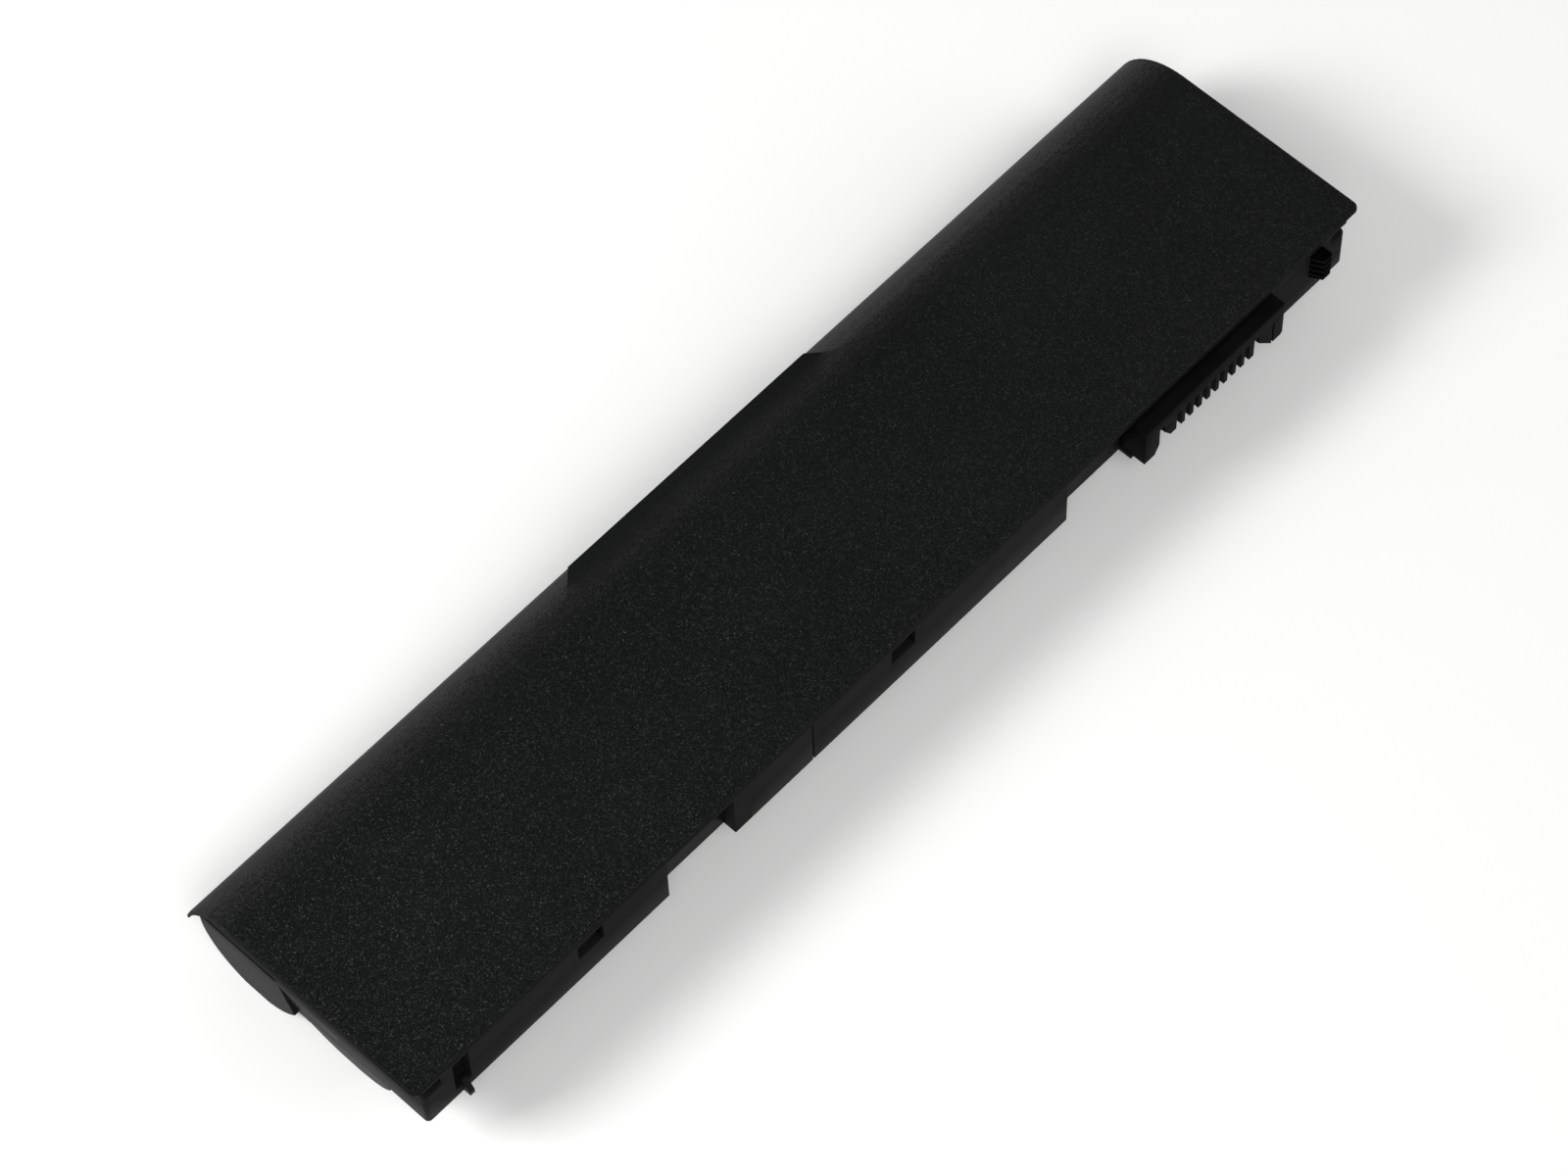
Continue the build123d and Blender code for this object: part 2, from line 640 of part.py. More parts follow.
def block_component(x, length, height, thick, end_cap):
    """A small part with a metal cap on each end, flat on the board's front."""
    z0 = BOARD_MID_Z - height / 2
    z1 = BOARD_MID_Z + height / 2
    front = BOARD_FRONT_Y - thick + LEG_THICK / 2
    middle = box(x + end_cap, x + length - end_cap, front, BOARD_FRONT_Y, z0, z1)
    caps = box(x, x + end_cap, BOARD_FRONT_Y - thick, BOARD_FRONT_Y, z0, z1)
    return middle + caps + Pos(length - end_cap, 0, 0) * caps


def thermistor():
    """The bead that lies on the middle inner cell, with its two wires to the board's back."""
    from_axis = CELL_RADIUS + LAP_FIT + BEAD_DIAMETER / 2
    y = ROW_INNER_Y - (from_axis ** 2 - BEAD_RISE ** 2) ** 0.5
    z = AXIS_Z + BEAD_RISE
    bead = Pos(BEAD_X, y, z) * (Rotation(0, 90, 0) * Cylinder(BEAD_DIAMETER / 2, BEAD_LENGTH))
    for side in (-1, 1):
        x = BEAD_X + side * BEAD_LENGTH / 4
        wire = Plane((x, BOARD_BACK_Y, z), z_dir=(0, 1, 0)) * Circle(WIRE_DIAMETER / 2)
        bead += extrude(wire, y - BOARD_BACK_Y)
    return bead


def write_board():
    """The board and the parts soldered on it."""
    write("protection_board", protection_board())
    write("gauge_chip", chip(GAUGE_X, GAUGE_LENGTH, GAUGE_HEIGHT, GAUGE_THICK, GAUGE_LEG_COUNT))
    second = chip(PROTECTOR_X, PROTECTOR_LENGTH, PROTECTOR_HEIGHT, PROTECTOR_THICK, PROTECTOR_LEG_COUNT)
    write("second_protector_chip", second)
    for name, x in (("charge", CHARGE_X), ("discharge", DISCHARGE_X)):
        switch = chip(x, TRANSISTOR_LENGTH, TRANSISTOR_HEIGHT, TRANSISTOR_THICK, TRANSISTOR_LEG_COUNT)
        write(f"{name}_transistor", switch)
    write("cell_fuse", block_component(FUSE_X, FUSE_LENGTH, FUSE_HEIGHT, FUSE_THICK, FUSE_CAP))
    resistor = block_component(RESISTOR_X, RESISTOR_LENGTH, RESISTOR_HEIGHT, RESISTOR_THICK, RESISTOR_CAP)
    write("sense_resistor", resistor)
    capacitors = [
        block_component(x, CAPACITOR_LENGTH, CAPACITOR_HEIGHT, CAPACITOR_THICK, CAPACITOR_CAP)
        for x in CAPACITOR_PLACES
    ]
    write("board_capacitors", Compound(children=capacitors))
    write("thermistor", thermistor())


# Connector

def contact_places():
    """Middle of each contact slot along the length."""
    return [CONNECTOR_NEAR_X + FIRST_CONTACT + i * CONTACT_PITCH for i in range(CONTACTS)]


def under_comb():
    """What is cut away under the plug's front: the comb stands higher than the blocks beside it, in X-Z."""
    near_side = NEAR_KEY_X - SLOT_WIDTH / 2
    wide_side = NEAR_KEY_X + SLOT_WIDTH / 2
    far_side = FAR_KEY_X + SLOT_WIDTH / 2
    far_foot = CONNECTOR_FOOT_Z + FAR_BLOCK_RISE
    low = CONNECTOR_FOOT_Z - PAST
    return make_face(Polyline(
        (near_side - NEAR_BLOCK_CUT, low),
        (near_side - NEAR_BLOCK_CUT, CONNECTOR_FOOT_Z),
        (near_side, COMB_FOOT_Z),
        (wide_side, COMB_FOOT_Z + WIDE_TOOTH_CUT_HEIGHT),
        (wide_side + WIDE_TOOTH_CUT, COMB_FOOT_Z),
        (far_side, COMB_FOOT_Z),
        (far_side, far_foot + FAR_BLOCK_CUT_HEIGHT),
        (far_side + FAR_BLOCK_CUT, far_foot),
        (CONNECTOR_FAR_X - FAR_BLOCK_CORNER, far_foot),
        (CONNECTOR_FAR_X, far_foot + FAR_BLOCK_CORNER),
        (CONNECTOR_FAR_X + PAST, far_foot + FAR_BLOCK_CORNER),
        (CONNECTOR_FAR_X + PAST, low),
        close=True,
    ))


def connector_housing():
    """The comb-like plug housing: slots open at the front and foot, with a key slot at each end."""
    section = rect(-CONNECTOR_REACH, BOARD_FRONT_Y, CONNECTOR_FOOT_Z, CONNECTOR_TOP_Z)
    top_front = section.vertices().group_by(Axis.X)[0].sort_by(Axis.Y)[-1]
    section = chamfer(top_front, CONNECTOR_CHAMFER)
    front = -CONNECTOR_REACH - PAST
    low = CONNECTOR_FOOT_Z - PAST
    housing = along(section, CONNECTOR_NEAR_X, CONNECTOR_FAR_X) - across(under_comb(), front, -LAP_FIT)
    for x in contact_places() + [NEAR_KEY_X, FAR_KEY_X]:
        slot = rect(x - SLOT_WIDTH / 2, x + SLOT_WIDTH / 2, low, SLOT_TOP_Z)
        housing -= across(slot, front, SLOT_DEPTH - CONNECTOR_REACH)
    for x in contact_places():
        tail = rect(x - CONTACT_THICK, x + CONTACT_THICK, low, SLOT_TOP_Z)
        housing -= across(tail, 0, BOARD_FRONT_Y + PAST)
    slit_x = CONNECTOR_FAR_X - SLIT_FROM_END
    slit = rect(slit_x, slit_x + SLIT_WIDTH, low, SLOT_TOP_Z)
    return housing - across(slit, front, SEAM_DEPTH - CONNECTOR_REACH)


def contact(x):
    """A forked spring contact in its slot, with a tail back to the board."""
    side = SLOT_WIDTH / 2 - CONTACT_THICK / 2
    mouth = CONTACT_SET_IN - CONNECTOR_REACH
    heel = SLOT_DEPTH - CONNECTOR_REACH - CONTACT_THICK / 2
    path = Polyline((x - side, mouth), (x - side, heel), (x + side, heel), (x + side, mouth))
    fork = trace(path, CONTACT_THICK)
    tail = rect(x - CONTACT_THICK / 2, x + CONTACT_THICK / 2, heel, BOARD_FRONT_Y)
    z0 = (COMB_FOOT_Z + SLOT_TOP_Z - CONTACT_HEIGHT) / 2
    return upright(fork + tail, z0, z0 + CONTACT_HEIGHT)


def main():
    os.makedirs("parts", exist_ok=True)
    write("top_cover", top_cover())
    write("bottom_case", bottom_case())
    write_cells()
    write_strips()
    write_board()
    write("connector_housing", connector_housing())
    write("connector_contacts", Compound(children=[contact(x) for x in contact_places()]))


main()
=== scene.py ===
"""Dresses a slim laptop battery: matt grained lid, lobed case, comb-like plug, and the cells and board inside.

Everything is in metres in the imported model's frame: X along the length towards the plug's end, Y from the plug's
side to the rounded long edge, Z up out of the matt face. Sizes in the classes are millimetres.
"""
import logging
import math
from dataclasses import dataclass, field
from enum import Enum
from typing import Any

import bpy
from mathutils import Euler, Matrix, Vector


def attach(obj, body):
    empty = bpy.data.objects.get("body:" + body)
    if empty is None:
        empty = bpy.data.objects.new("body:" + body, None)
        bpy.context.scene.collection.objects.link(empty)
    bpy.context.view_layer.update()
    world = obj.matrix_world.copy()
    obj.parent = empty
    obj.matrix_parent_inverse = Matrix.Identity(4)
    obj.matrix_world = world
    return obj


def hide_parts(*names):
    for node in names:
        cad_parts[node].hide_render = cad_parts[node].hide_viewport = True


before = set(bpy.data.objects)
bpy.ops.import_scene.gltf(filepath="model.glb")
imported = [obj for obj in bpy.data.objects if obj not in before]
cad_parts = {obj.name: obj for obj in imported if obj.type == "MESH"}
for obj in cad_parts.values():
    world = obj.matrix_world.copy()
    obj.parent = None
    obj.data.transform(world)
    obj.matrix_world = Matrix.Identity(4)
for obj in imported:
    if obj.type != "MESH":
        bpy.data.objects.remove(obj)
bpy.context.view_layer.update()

MM = 0.001
PATCH_STOPS = (0.35, 0.75)  # Values of the patch noise between which the tint comes in
RIDGE_HIGHLIGHT_STOPS = (0.8, 0.97)  # Values of the ridge wave between which the painted highlight colour comes in, near its crests
GRAIN_SPAN = (0.3, 0.7)  # Values of the relief over which the roughness swings
STREAK = (0.12, 1.0, 1.0)  # Stretch of a lengthwise grain
NO_LEAN = (0.5, 0.5, 0.5)  # The random colour that leaves a facet level
LOG = logging.getLogger("battery")


def linear(hex_code: str) -> tuple[float, float, float, float]:
    """Turns an sRGB hex colour into linear light.

    Args:
        hex_code: Six hex digits, with or without a leading hash mark.

    Returns:
        Red, green, blue and a full alpha, in linear light.
    """
    digits = hex_code.lstrip("#")
    parts = [int(digits[i:i + 2], 16) / 255 for i in (0, 2, 4)]
    red, green, blue = [p / 12.92 if p <= 0.04045 else ((p + 0.055) / 1.055) ** 2.4 for p in parts]
    return red, green, blue, 1.0


def per_metre(size_mm: float) -> float:
    """Gives the texture scale at which a pattern repeats about once in a size.

    Args:
        size_mm: Width of one repeat.

    Returns:
        Repeats in a metre.
    """
    return 1 / (size_mm * MM)


def add_node(tree: bpy.types.NodeTree, kind: str, settings: dict[str | int, Any] | None = None,
             links: dict[str | int, bpy.types.NodeSocket] | None = None) -> bpy.types.Node:
    """Adds one node with its settings and links.

    Args:
        tree: The node tree that gets the node.
        kind: The node's class name.
        settings: Values by socket name or number, or by property name where no socket has that name.
        links: Source sockets by the name or number of the input that each one feeds.

    Returns:
        The new node.
    """
    made = tree.nodes.new(kind)
    for key, value in (settings or {}).items():
        if isinstance(key, int) or key in made.inputs:
            made.inputs[key].default_value = value
        else:
            setattr(made, key, value)
    for key, source in (links or {}).items():
        tree.links.new(source, made.inputs[key])
    return made


class Grain(Enum):
    """How a surface's fine relief is laid out."""

    EVEN = "even"
    FACETED = "faceted"
    LENGTHWISE = "lengthwise"
    RIDGED = "ridged"


@dataclass(frozen=True)
class Finish:
    """A surface: its colours, how rough it is and the fine relief that its making leaves.

    Attributes:
        name: The real material and how it was made.
        colour: Main colour, as sRGB hex.
        tint: Colour of the patches that the larger pattern brings in; on a ridged grain, the painted highlight near
            the ridges' crests.
        roughness: Shader roughness at the middle of the pattern.
        roughness_swing: How far the pattern moves the roughness each way.
        grain_mm: Width of the fine relief.
        relief_mm: Height of the fine relief.
        patch_mm: Width of the larger, soft patches.
        metallic: One for bare metal.
        specular: Shader specular level; a half is plain plastic.
        coat: Strength of a clear coat over it.
        grain: How the fine relief is laid out.
        reflection: Colour that its reflections take on.
        fade_mm: Heights over the floor from which the relief is full and at which it has died away.
        faded_roughness: Shader roughness where the relief has died away.
    """

    name: str
    colour: str
    tint: str
    roughness: float
    roughness_swing: float = 0.06
    grain_mm: float = 0.4
    relief_mm: float = 0.02
    patch_mm: float = 12.0
    metallic: float = 0.0
    specular: float = 0.5
    coat: float = 0.0
    grain: Grain = Grain.EVEN
    reflection: str = "#ffffff"
    fade_mm: tuple[float, float] | None = None
    faded_roughness: float = 0.6

    def material(self) -> bpy.types.Material:
        """Builds the material, or gives the one that was built before.

        Returns:
            A node material that reads object coordinates only.
        """
        found = bpy.data.materials.get(self.name)
        if found:
            return found
        made = bpy.data.materials.new(self.name)
        made.use_nodes = True
        tree = made.node_tree
        shader = tree.nodes["Principled BSDF"]
        where = add_node(tree, "ShaderNodeTexCoord").outputs["Object"]
        patches = add_node(tree, "ShaderNodeTexNoise",
                           {"Scale": per_metre(self.patch_mm), "Detail": 3.0, "Roughness": 0.6}, {"Vector": where})
        grain = self._grain(tree, where)
        # On a ridged grain the colour follows the ridges, painting highlights in the tint near their crests
        ridged = self.grain is Grain.RIDGED
        ramp = add_node(tree, "ShaderNodeValToRGB", links={"Fac": grain if ridged else patches.outputs["Fac"]})
        stops = RIDGE_HIGHLIGHT_STOPS if ridged else PATCH_STOPS
        for element, position, colour in zip(ramp.color_ramp.elements, stops, (self.colour, self.tint)):
            element.position = position
            element.color = linear(colour)
        rough = add_node(tree, "ShaderNodeMapRange",
                         {"From Min": GRAIN_SPAN[0], "From Max": GRAIN_SPAN[1],
                          "To Min": self.roughness - self.roughness_swing,
                          "To Max": self.roughness + self.roughness_swing}, {"Value": grain})
        bump = add_node(tree, "ShaderNodeBump", {"Distance": self.relief_mm * MM, "Strength": 1.0},
                        {"Height": grain})
        shader.inputs["Metallic"].default_value = self.metallic
        shader.inputs["Specular IOR Level"].default_value = self.specular
        shader.inputs["Specular Tint"].default_value = linear(self.reflection)
        shader.inputs["Coat Weight"].default_value = self.coat
        if self.fade_mm:
            full, gone = self.fade_mm
            height = add_node(tree, "ShaderNodeSeparateXYZ", links={"Vector": where})
            fade = add_node(tree, "ShaderNodeMapRange", {"From Min": gone * MM, "From Max": full * MM},
                            {"Value": height.outputs["Z"]}).outputs["Result"]
            tree.links.new(fade, bump.inputs["Strength"])
            rough = add_node(tree, "ShaderNodeMapRange", {"To Min": self.faded_roughness},
                             {"Value": fade, "To Max": rough.outputs["Result"]})
        tree.links.new(ramp.outputs["Color"], shader.inputs["Base Color"])
        tree.links.new(rough.outputs["Result"], shader.inputs["Roughness"])
        tree.links.new(bump.outputs["Normal"], shader.inputs["Normal"])
        return made

    def _grain(self, tree: bpy.types.NodeTree, where: bpy.types.NodeSocket) -> bpy.types.NodeSocket:
        """Adds the fine relief.

        Args:
            tree: The material's node tree.
            where: Socket with the object coordinates.

        Returns:
            The socket with the relief's height, from nought to one.
        """
        scale = per_metre(self.grain_mm)
        if self.grain is Grain.FACETED:
            # Each cell is a plane through its own middle that leans by its own random colour
            cells = add_node(tree, "ShaderNodeTexVoronoi", {"Scale": scale}, {"Vector": where}).outputs
            across = add_node(tree, "ShaderNodeVectorMath", {"operation": "SUBTRACT"},
                              {0: where, 1: cells["Position"]})
            lean = add_node(tree, "ShaderNodeVectorMath", {"operation": "SUBTRACT", 1: NO_LEAN},
                            {0: cells["Color"]})
            rise = add_node(tree, "ShaderNodeVectorMath", {"operation": "DOT_PRODUCT"},
                            {0: across.outputs["Vector"], 1: lean.outputs["Vector"]})
            facets = add_node(tree, "ShaderNodeMapRange", {"From Min": -0.5 / scale, "From Max": 0.5 / scale},
                              {"Value": rise.outputs["Value"]})
            return facets.outputs["Result"]
        if self.grain is Grain.RIDGED:
            # A wave of scale one repeats ten times in pi, so a ridge's pitch is pi / 10 over the scale
            rows = add_node(tree, "ShaderNodeTexWave", {"bands_direction": "Z", "Scale": math.pi / 10 * scale},
                            {"Vector": where})
            return rows.outputs["Fac"]
        stretch = STREAK if self.grain is Grain.LENGTHWISE else (1.0, 1.0, 1.0)
        run = add_node(tree, "ShaderNodeMapping", {"Scale": stretch}, {"Vector": where})
        fine = add_node(tree, "ShaderNodeTexNoise", {"Scale": scale, "Detail": 2.0, "Roughness": 0.55},
                        {"Vector": run.outputs["Vector"]})
        return fine.outputs["Fac"]


# Spark-eroded ABS blend: a dull, even, near-black face whose fine facets catch small sparks of light; the real ones
# are about 0.1 mm wide and are drawn coarser so that they show
GRAINED_LID = Finish("spark_eroded_abs", "#101211", "#141615", roughness=0.38, roughness_swing=0.06,
                     grain_mm=0.17, relief_mm=0.215, patch_mm=30.0, specular=0.11, grain=Grain.FACETED,
                     reflection="#f6fff4", fade_mm=(20.2, 16.6))
# Moulded ABS blend left dull by its tool: the lid's black without the sparks
DULL_SKIRT = Finish("dull_moulded_abs", "#151615", "#1a1b1a", roughness=0.62, roughness_swing=0.05,
                    grain_mm=0.25, relief_mm=0.006, patch_mm=18.0, specular=0.015, reflection="#fbfff0")
# Moulded ABS blend from a fine satin tool: the same black, smoother, pale only where it is seen at a slant
SATIN_CASE = Finish("satin_moulded_abs", "#161716", "#1b1c1b", roughness=0.40, roughness_swing=0.04,
                    grain_mm=0.25, relief_mm=0.006, patch_mm=18.0, specular=0.015, reflection="#f6fff2")
# Glass-filled nylon: deep black with a dry, slightly streaky skin
PLUG_NYLON = Finish("glass_filled_nylon", "#080808", "#0d0d0d", roughness=0.5, roughness_swing=0.06,
                    grain_mm=0.3, relief_mm=0.008, patch_mm=6.0, specular=0.012, grain=Grain.LENGTHWISE,
                    reflection="#fbfff0")
# Ridged guide: dull and lined, its colour painted near-black for the shade that it stands in, with painted highlights
# in bands near its ridges' crests
PAINTED_SHADE_GUIDE = Finish("guide_painted_shade", "#030303", "#1c1d1a", roughness=0.8, roughness_swing=0.04,
                      grain_mm=1.4, relief_mm=0.05, patch_mm=6.0, specular=0.003, grain=Grain.RIDGED)
# Shrunk PVC sleeve: smooth, glossy and evenly coloured
CELL_SLEEVE = Finish("shrunk_pvc_sleeve", "#2f5f9f", "#3768a8", roughness=0.3, roughness_swing=0.05,
                     grain_mm=1.5, relief_mm=0.01, patch_mm=20.0)
# Rolled nickel: bright metal with faint lines left by the rolls
ROLLED_NICKEL = Finish("rolled_nickel", "#bdb8ae", "#cac5bb", roughness=0.32, roughness_swing=0.08,
                       grain_mm=0.3, relief_mm=0.004, patch_mm=5.0, metallic=1.0, grain=Grain.LENGTHWISE)
# Pressed insulating card: pale, fibrous and dull
FISH_PAPER = Finish("pressed_fish_paper", "#a9ada3", "#9b9f95", roughness=0.85, roughness_swing=0.05,
                    grain_mm=0.35, relief_mm=0.02, patch_mm=4.0, specular=0.2)
# Solder mask over glass epoxy: glossy green, faintly mottled
SOLDER_MASK = Finish("green_solder_mask", "#12512c", "#176236", roughness=0.3, roughness_swing=0.05,
                     grain_mm=0.5, relief_mm=0.006, patch_mm=8.0, coat=0.3)
# Moulded epoxy chip: matt black with a faint grit
CHIP_EPOXY = Finish("moulded_chip_epoxy", "#161617", "#1d1d1e", roughness=0.6, roughness_swing=0.06,
                    grain_mm=0.15, relief_mm=0.01, patch_mm=2.0)
# Fired ceramic: pale tan, finely gritty
FIRED_CERAMIC = Finish("fired_ceramic", "#a58b68", "#b0987a", roughness=0.45, roughness_swing=0.06,
                       grain_mm=0.2, relief_mm=0.008, patch_mm=1.5)
# Dipped epoxy bead: smooth black drop
DIPPED_EPOXY = Finish("dipped_epoxy", "#17181a", "#1f2022", roughness=0.22, roughness_swing=0.04,
                      grain_mm=0.8, relief_mm=0.006, patch_mm=2.0)
# Gold-flashed copper alloy: warm bright metal
GOLD_FLASH = Finish("gold_flashed_contact", "#d9ad55", "#c99c46", roughness=0.28, roughness_swing=0.06,
                    grain_mm=0.2, relief_mm=0.003, patch_mm=1.0, metallic=1.0)


def deselect() -> None:
    """Leaves nothing selected."""
    bpy.ops.object.select_all(action="DESELECT")


@dataclass
class Moulding:
    """A moulded piece drawn over a CAD node, with the small rounds that its tool leaves on every edge.

    Attributes:
        node: The CAD node that it stands for.
        name: The new piece's name.
        slot: The record's material slot; not used.
        finish: Its surface.
        edge_mm: Radius of its small edge rounds.
        segments: Steps in each round.
        sharp_deg: Least angle between two faces that counts as an edge.
        weld_mm: Distance within which the copied mesh's points are merged.
        flat_deg: Angle under which neighbouring faces are joined into one.
        piece: The built object, once there is one.
    """

    node: str
    name: str
    slot: str
    finish: Finish
    edge_mm: float = 0.15
    segments: int = 2
    sharp_deg: float = 32.0
    weld_mm: float = 0.002
    flat_deg: float = 0.2
    piece: bpy.types.Object | None = field(default=None, init=False)

    def build(self) -> bpy.types.Object:
        """Copies the node's mesh, merges it and rounds its edges.

        Returns:
            The finished piece, at the origin.
        """
        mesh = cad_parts[self.node].data.copy()
        mesh.name = self.name
        mesh.materials.clear()
        piece = bpy.data.objects.new(self.name, mesh)
        bpy.context.scene.collection.objects.link(piece)
        deselect()
        piece.select_set(True)
        bpy.context.view_layer.objects.active = piece
        bpy.ops.object.mode_set(mode="EDIT")
        bpy.ops.mesh.select_all(action="SELECT")
        bpy.ops.mesh.remove_doubles(threshold=self.weld_mm * MM)
        bpy.ops.mesh.dissolve_limited(angle_limit=math.radians(self.flat_deg))
        bpy.ops.object.mode_set(mode="OBJECT")
        bevel = piece.modifiers.new("edge_rounds", "BEVEL")
        bevel.width = self.edge_mm * MM
        bevel.segments = self.segments
        bevel.limit_method = "ANGLE"
        bevel.angle_limit = math.radians(self.sharp_deg)
        bevel.use_clamp_overlap = True
        bpy.ops.object.modifier_apply(modifier=bevel.name)
        bpy.ops.object.shade_smooth_by_angle(angle=math.radians(self.sharp_deg))
        self.piece = piece
        return piece

    def dress(self) -> None:
        """Gives the piece its finish and its body, and hides the node that it stands for."""
        self.piece.data.materials.append(self.finish.material())
        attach(self.piece, "root")
        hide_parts(self.node)


class LidArea(Enum):
    """The lid's areas, by the number of the material that each one has."""

    FACE = 0
    SIDE = 1
    GUIDE = 2


@dataclass
class Lid(Moulding):
    """The lid, grained on its face and rounded edge only; its skirt and lips are dull and its guide rib is painted
    near-black for shade, with painted highlights along its ridges.

    Attributes:
        side_finish: Surface of the skirt and the lips.
        guide_shade_finish: Surface of the guide rib on the skirt, painted near-black for shade with painted
            highlights along its ridges.
        face_slope: Least upward part of a face's normal that still counts as the grained face.
        back_slope: Least backward part of a face's normal that counts as the rounded edge.
        guide_mm: Reach of the guide rib along X, and the Y of the skirt that it stands out from.
    """

    side_finish: Finish = DULL_SKIRT
    guide_shade_finish: Finish = PAINTED_SHADE_GUIDE
    face_slope: float = 0.8
    back_slope: float = 0.1
    guide_mm: tuple[float, float, float] = (91.9, 94.95, -23.3)

    def dress(self) -> None:
        """Gives the lid its finishes, split by the way each face looks and where it is."""
        super().dress()
        self.piece.data.materials.append(self.side_finish.material())
        self.piece.data.materials.append(self.guide_shade_finish.material())
        start, end, skirt = self.guide_mm
        for face in self.piece.data.polygons:
            on_side = face.normal.z < self.face_slope and face.normal.y < self.back_slope
            # The guide rib's faces take the painted shade and the painted ridge highlights
            on_guide = start * MM < face.center.x < end * MM and face.center.y < skirt * MM
            area = LidArea.GUIDE if on_guide else LidArea.SIDE if on_side else LidArea.FACE
            face.material_index = area.value


@dataclass
class Shell:
    """The three mouldings that show.

    Attributes:
        lid: The grained lid.
        case: The lobed case.
        plug: The comb-like plug.
    """

    lid: Lid = field(default_factory=lambda: Lid(
        "top_cover", "grained_lid", "lid_plastic", GRAINED_LID, edge_mm=0.2))
    case: Moulding = field(default_factory=lambda: Moulding(
        "bottom_case", "lobed_case", "case_plastic", SATIN_CASE, edge_mm=0.15))
    plug: Moulding = field(default_factory=lambda: Moulding(
        "connector_housing", "comb_plug", "plug_plastic", PLUG_NYLON, edge_mm=0.1))

    def build(self) -> list[bpy.types.Object]:
        """Builds and dresses the three.

        Returns:
            The finished pieces.
        """
        mouldings = (self.lid, self.case, self.plug)
        for moulding in mouldings:
            moulding.build()
            moulding.dress()
        return [moulding.piece for moulding in mouldings]


@dataclass
class Inside:
    """The pieces that the case holds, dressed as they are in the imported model.

    Attributes:
        finishes: Each surface by the start of the names of the nodes that have it.
    """

    finishes: dict[str, Finish] = field(default_factory=lambda: {
        "cell_": CELL_SLEEVE,
        "negative_strip": ROLLED_NICKEL,
        "positive_strip": ROLLED_NICKEL,
        "series_strip": ROLLED_NICKEL,
        "card_": FISH_PAPER,
        "protection_board": SOLDER_MASK,
        "gauge_chip": CHIP_EPOXY,
        "second_protector_chip": CHIP_EPOXY,
        "charge_transistor": CHIP_EPOXY,
        "discharge_transistor": CHIP_EPOXY,
        "cell_fuse": FIRED_CERAMIC,
        "sense_resistor": FIRED_CERAMIC,
        "board_capacitors": FIRED_CERAMIC,
        "thermistor": DIPPED_EPOXY,
        "connector_contacts": GOLD_FLASH,
    })

    def dress(self) -> list[bpy.types.Object]:
        """Gives each inner node the finish of the longest name that it starts with.

        Returns:
            The dressed nodes.
        """
        dressed = []
        for name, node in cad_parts.items():
            keys = [key for key in self.finishes if name.startswith(key)]
            if not keys:
                continue
            node.data.materials.clear()
            node.data.materials.append(self.finishes[max(keys, key=len)].material())
            dressed.append(node)
        return dressed


@dataclass
class Lamp:
    """A soft square lamp.

    Attributes:
        name: The lamp's name.
        place_mm: Where it stands.
        aim_mm: The point that it faces.
        side_mm: The length of its sides.
        power_w: Its power.
    """

    name: str
    place_mm: tuple[float, float, float]
    aim_mm: tuple[float, float, float]
    side_mm: float
    power_w: float

    def build(self) -> None:
        """Adds the lamp and turns it to its aim."""
        data = bpy.data.lights.new(self.name, "AREA")
        data.shape = "SQUARE"
        data.size = self.side_mm * MM
        data.energy = self.power_w
        lamp = bpy.data.objects.new(self.name, data)
        bpy.context.scene.collection.objects.link(lamp)
        lamp.location = Vector(self.place_mm) * MM
        away = Vector(self.aim_mm) * MM - lamp.location
        lamp.rotation_euler = away.to_track_quat("-Z", "Y").to_euler()


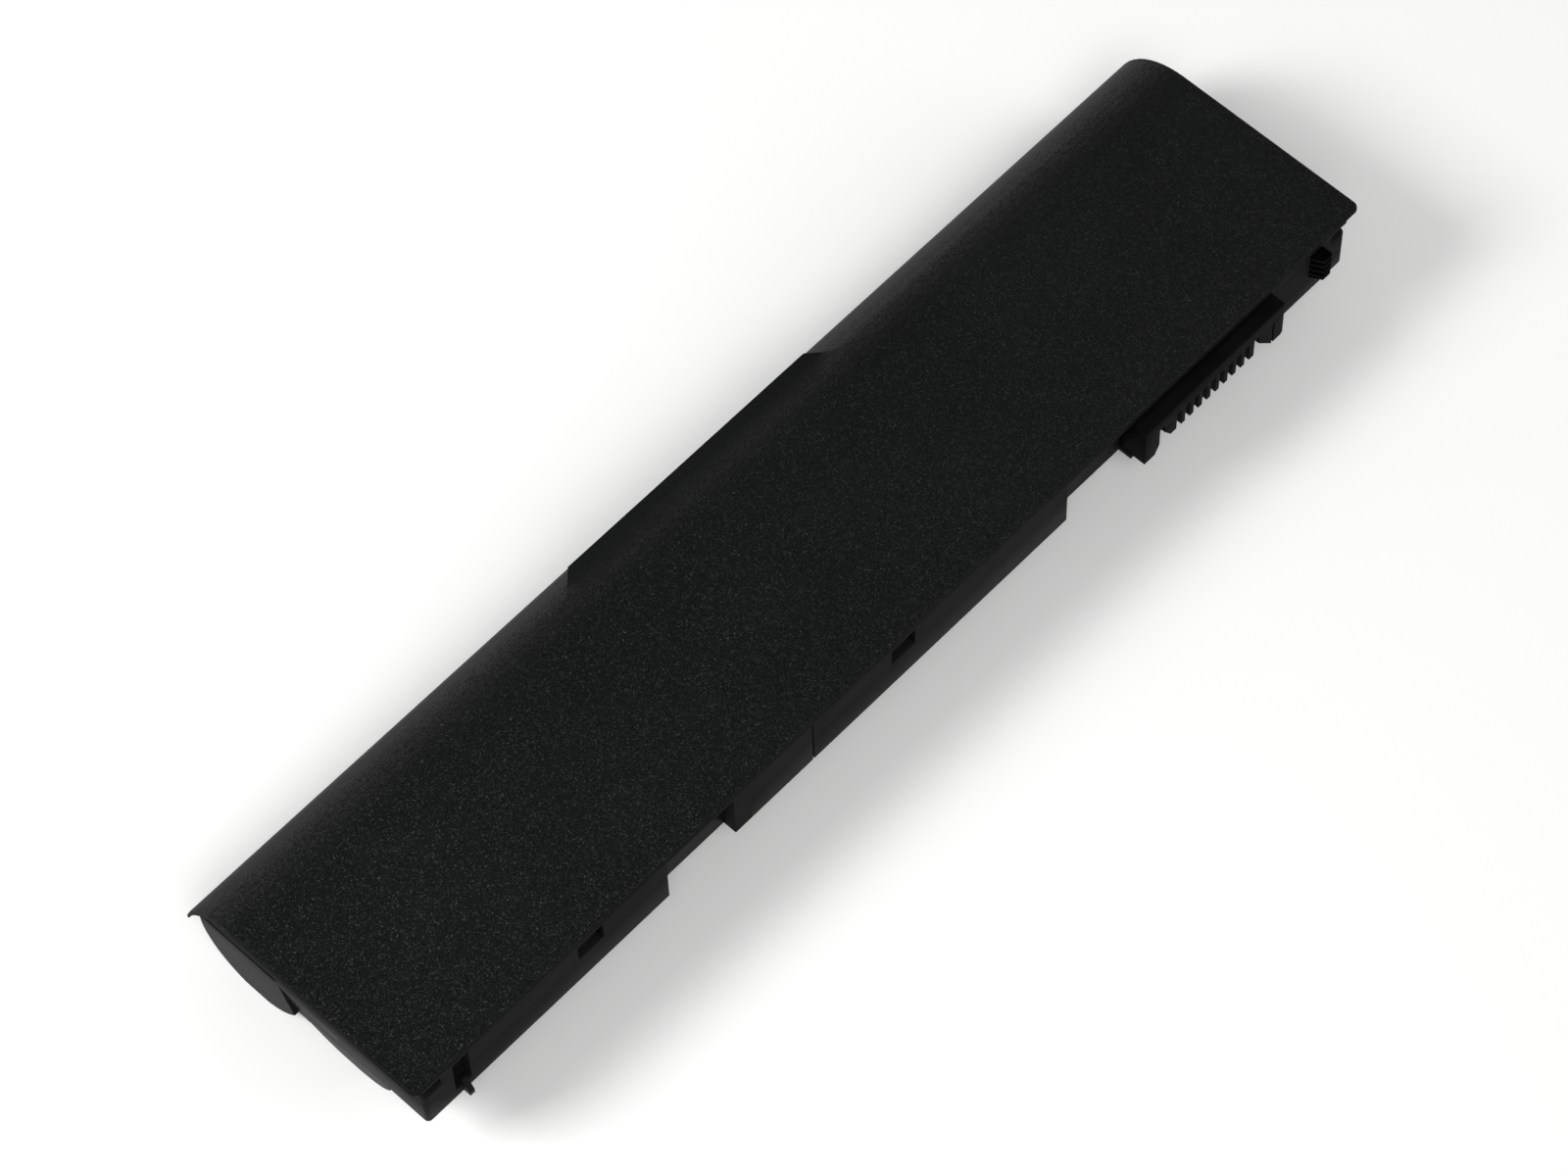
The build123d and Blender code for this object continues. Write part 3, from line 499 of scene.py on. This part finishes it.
@dataclass
class Studio:
    """A pale floor, soft lamps and a camera where the photograph was taken from.

    Attributes:
        camera_mm: The camera's place.
        camera_deg: Its turns about X, Y and Z.
        lens_mm: Its lens.
        sensor_mm: Width of its frame.
        floor_mm: Length of the floor's sides.
        floor_colour: The floor's paint, as sRGB hex.
        floor_roughness: Shader roughness of the paint.
        floor_specular: Shader specular level of the paint.
        world_colour: Colour of the even light, as sRGB hex.
        world_strength: Strength of the even light.
        lamps: The soft lamps.
    """

    camera_mm: tuple[float, float, float] = (-279.08, -284.76, 702.06)
    camera_deg: tuple[float, float, float] = (29.793, 1.383, -46.515)
    lens_mm: float = 119.83
    sensor_mm: float = 36.0
    floor_mm: float = 6000.0
    floor_colour: str = "#fcfcfb"
    floor_roughness: float = 0.9
    floor_specular: float = 0.1
    world_colour: str = "#ffffff"
    world_strength: float = 0.24
    lamps: tuple[Lamp, ...] = (
        Lamp("window_lamp", place_mm=(-675.0, 375.0, 630.0), aim_mm=(0.0, 0.0, 10.0), side_mm=375.0, power_w=6.8),
        Lamp("front_lamp", place_mm=(-1260.0, -1860.0, 3000.0), aim_mm=(0.0, 0.0, 0.0), side_mm=1800.0, power_w=57.0),
        Lamp("fill_lamp", place_mm=(1680.0, -1860.0, 1140.0), aim_mm=(60.0, 0.0, 0.0), side_mm=1800.0, power_w=24.0),
    )

    def build(self) -> None:
        """Builds the floor, the lamps, the world and the camera."""
        self._floor()
        for lamp in self.lamps:
            lamp.build()
        self._world()
        self._camera()
        bpy.context.scene.view_settings.view_transform = "Standard"

    def _floor(self) -> None:
        """Lays a wide pale floor under the part."""
        deselect()
        bpy.ops.mesh.primitive_plane_add(size=self.floor_mm * MM, location=(0.0, 0.0, 0.0))
        floor = bpy.context.object
        floor.name = "studio_floor"
        made = bpy.data.materials.new("painted_floor")
        made.use_nodes = True
        shader = made.node_tree.nodes["Principled BSDF"]
        shader.inputs["Base Color"].default_value = linear(self.floor_colour)
        shader.inputs["Roughness"].default_value = self.floor_roughness
        shader.inputs["Specular IOR Level"].default_value = self.floor_specular
        floor.data.materials.append(made)

    def _world(self) -> None:
        """Gives the room an even pale light."""
        world = bpy.data.worlds.new("studio_world")
        bpy.context.scene.world = world
        world.use_nodes = True
        background = world.node_tree.nodes["Background"]
        background.inputs["Color"].default_value = linear(self.world_colour)
        background.inputs["Strength"].default_value = self.world_strength

    def _camera(self) -> None:
        """Stands the camera where the photograph was taken from."""
        data = bpy.data.cameras.new("photo_camera")
        data.sensor_width = self.sensor_mm
        data.lens = self.lens_mm
        camera = bpy.data.objects.new("photo_camera", data)
        bpy.context.scene.collection.objects.link(camera)
        camera.location = Vector(self.camera_mm) * MM
        camera.rotation_euler = Euler([math.radians(a) for a in self.camera_deg], "XYZ")
        bpy.context.scene.camera = camera


def main() -> None:
    """Builds the mouldings, dresses the inside, reports each piece and sets up the studio."""
    logging.basicConfig(level=logging.INFO, format="%(name)s %(message)s")
    for piece in Shell().build() + Inside().dress():
        LOG.info("%s: %d faces, %s", piece.name, len(piece.data.polygons), piece.data.materials[0].name)
    Studio().build()


if __name__ == "__main__":
    main()
